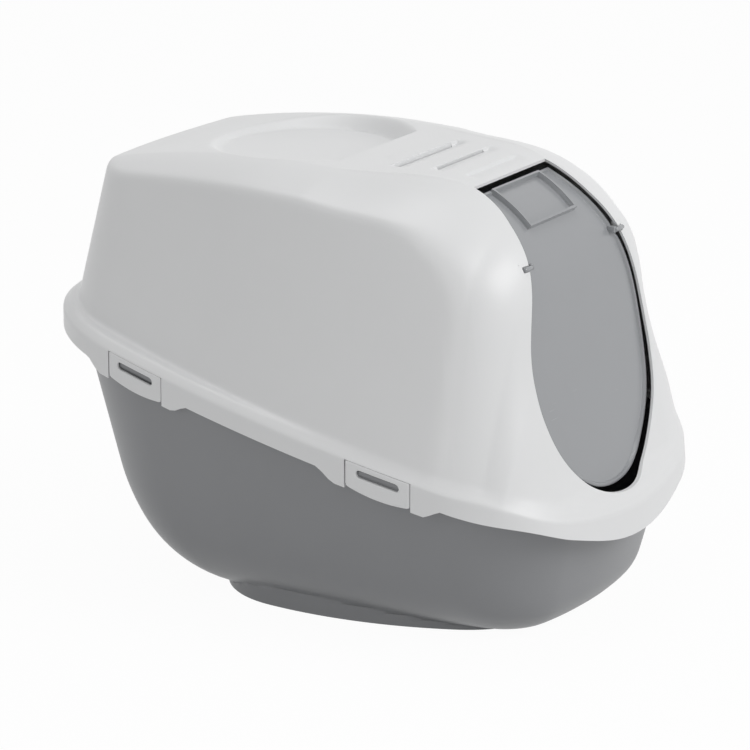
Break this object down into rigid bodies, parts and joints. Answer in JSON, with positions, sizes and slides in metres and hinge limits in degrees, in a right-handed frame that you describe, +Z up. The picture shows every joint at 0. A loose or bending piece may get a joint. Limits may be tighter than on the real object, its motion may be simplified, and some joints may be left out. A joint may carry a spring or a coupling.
{
  "type": "hooded front-entry litter box",
  "caption": "Hooded cat litter box: dark tub, light lift-off hood with side clips, roof scoop and a translucent swing door at the front.",
  "frame": {"origin": "on the floor, under the centre of the box's bounding box", "axes": "+Z up, -Y towards the swing door at the front, +X to the right for someone looking at the door"},
  "size_m": [0.486, 0.656, 0.4796],
  "materials": {
    "hood_plastic": "satin light grey moulded plastic",
    "tub_plastic": "satin dark grey moulded plastic",
    "door_plastic": "translucent smoke grey plastic",
    "filter_foam": "black carbon foam"
  },
  "bodies": {
    "tub": {"tub": "tub_plastic"},
    "hood": {"hood": "hood_plastic", "filter_pad": "filter_foam"},
    "swing_door": {"swing_door": "door_plastic"},
    "filter_grille": {"filter_grille": "hood_plastic"},
    "front_left_clip": {"front_left_clip": "hood_plastic"},
    "front_right_clip": {"front_right_clip": "hood_plastic"},
    "rear_left_clip": {"rear_left_clip": "hood_plastic"},
    "rear_right_clip": {"rear_right_clip": "hood_plastic"}
  },
  "joints": [
    {"name": "hood_lift", "type": "slide", "parent": "tub", "child": "hood", "axis": [0, 0, 1], "range_m": [0, 0.25]},
    {"name": "door_swing", "type": "hinge", "parent": "hood", "child": "swing_door", "pos_m": [0, -0.2445, 0.397], "axis": [1, 0, 0], "range_deg": [-75, 75]},
    {"name": "filter_grille_hinge", "type": "hinge", "parent": "hood", "child": "filter_grille", "pos_m": [0, -0.0235, 0.4522], "axis": [1, 0, 0], "range_deg": [0, 80]},
    {"name": "front_left_clip_hinge", "type": "hinge", "parent": "hood", "child": "front_left_clip", "pos_m": [-0.22914, -0.14537, 0.19465], "axis": [-0.1118, 0.9695, 0.2181], "range_deg": [0, 75]},
    {"name": "front_right_clip_hinge", "type": "hinge", "parent": "hood", "child": "front_right_clip", "pos_m": [0.22914, -0.14537, 0.19465], "axis": [-0.1118, -0.9695, -0.2181], "range_deg": [0, 75]},
    {"name": "rear_left_clip_hinge", "type": "hinge", "parent": "hood", "child": "rear_left_clip", "pos_m": [-0.22808, 0.15433, 0.26238], "axis": [0.1187, 0.9687, 0.218], "range_deg": [0, 75]},
    {"name": "rear_right_clip_hinge", "type": "hinge", "parent": "hood", "child": "rear_right_clip", "pos_m": [0.22808, 0.15433, 0.26238], "axis": [0.1187, -0.9687, -0.218], "range_deg": [0, 75]}
  ]
}
